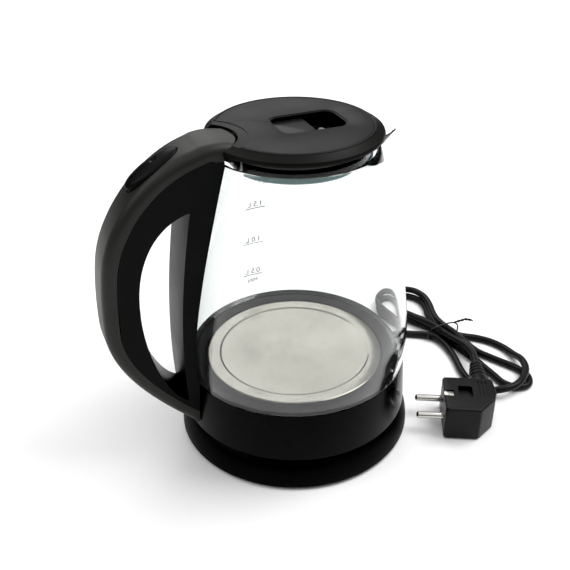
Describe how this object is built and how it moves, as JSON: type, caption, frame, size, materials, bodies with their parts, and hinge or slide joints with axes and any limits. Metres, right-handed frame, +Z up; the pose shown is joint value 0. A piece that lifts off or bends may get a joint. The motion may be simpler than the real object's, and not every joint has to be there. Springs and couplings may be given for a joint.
{
  "type": "electric kettle",
  "caption": "Cordless electric kettle with a tapered glass jug, hinged lid with catch, loop handle with rocker switch, round power base and hanked mains lead with a plug",
  "frame": {"origin": "Centre of the power base's underside, on the table the base stands on, with the jug seated on the base", "axes": "+Z up, handle towards -X, spout towards +X, the jug's mirror plane is XZ"},
  "size_m": [0.3157, 0.1897, 0.2195],
  "materials": {
    "black_plastic": "satin black moulded plastic",
    "gloss_black": "glossy black moulded plastic",
    "handle_plastic": "fine grained olive-black plastic",
    "lid_plastic": "satin charcoal plastic",
    "glass": "clear borosilicate glass",
    "steel": "satin stainless steel",
    "screw_steel": "zinc plated steel",
    "nickel": "nickel plated brass",
    "aluminium": "plain aluminium",
    "brass": "brass contacts",
    "silicone": "dark grey silicone",
    "clear_silicone": "pale translucent silicone",
    "feet_rubber": "black rubber",
    "cord_pvc": "black PVC sheath",
    "cream_plastic": "cream heat resistant plastic",
    "lead_insulation": "coloured wire insulation"
  },
  "bodies": {
    "power_base": {"base_cover": "black_plastic", "base_bottom": "black_plastic", "base_spigot": "black_plastic", "base_contacts": "brass", "base_feet": "feet_rubber", "base_screws": "screw_steel", "cord_grommet": "cord_pvc", "cord_clamp": "black_plastic", "base_leads": "lead_insulation", "power_cord": "cord_pvc", "plug_body": "cord_pvc", "plug_relief": "cord_pvc", "plug_pins": "nickel", "plug_earth_clips": "nickel", "twist_tie": "cord_pvc"},
    "kettle": {"body_skirt": "gloss_black", "bottom_cover": "black_plastic", "bottom_screws": "screw_steel", "plate_seal": "silicone", "heater_plate": "steel", "heat_spreader": "aluminium", "heating_element": "aluminium", "thermostat_housing": "cream_plastic", "bimetal_discs": "brass", "socket_contacts": "brass", "glass_jug": "glass", "handle_outer": "handle_plastic", "handle_inner": "black_plastic", "handle_screws": "screw_steel", "steam_tube": "clear_silicone", "steam_switch": "cream_plastic", "handle_wires": "lead_insulation", "hinge_pin": "steel"},
    "lid": {"lid_cover": "lid_plastic", "lid_plug": "gloss_black", "lid_seal": "clear_silicone", "lid_well": "gloss_black", "lid_screws": "screw_steel"},
    "lid_latch": {"latch_slider": "lid_plastic"},
    "rocker": {"switch_rocker": "black_plastic"}
  },
  "joints": [
    {"name": "kettle_lift", "type": "slide", "parent": "power_base", "child": "kettle", "axis": [0, 0, 1], "range_m": [0, 0.12]},
    {"name": "lid_hinge", "type": "hinge", "parent": "kettle", "child": "lid", "pos_m": [-0.046, 0, 0.2135], "axis": [0, -1, 0], "range_deg": [0, 75]},
    {"name": "latch_slide", "type": "slide", "parent": "lid", "child": "lid_latch", "axis": [-1, 0, 0], "range_m": [0, 0.004], "stiffness_N_per_m": 250},
    {"name": "rocker_hinge", "type": "hinge", "parent": "kettle", "child": "rocker", "pos_m": [-0.08737, 0, 0.20381], "axis": [0, 1, 0], "range_deg": [0, 7]}
  ]
}
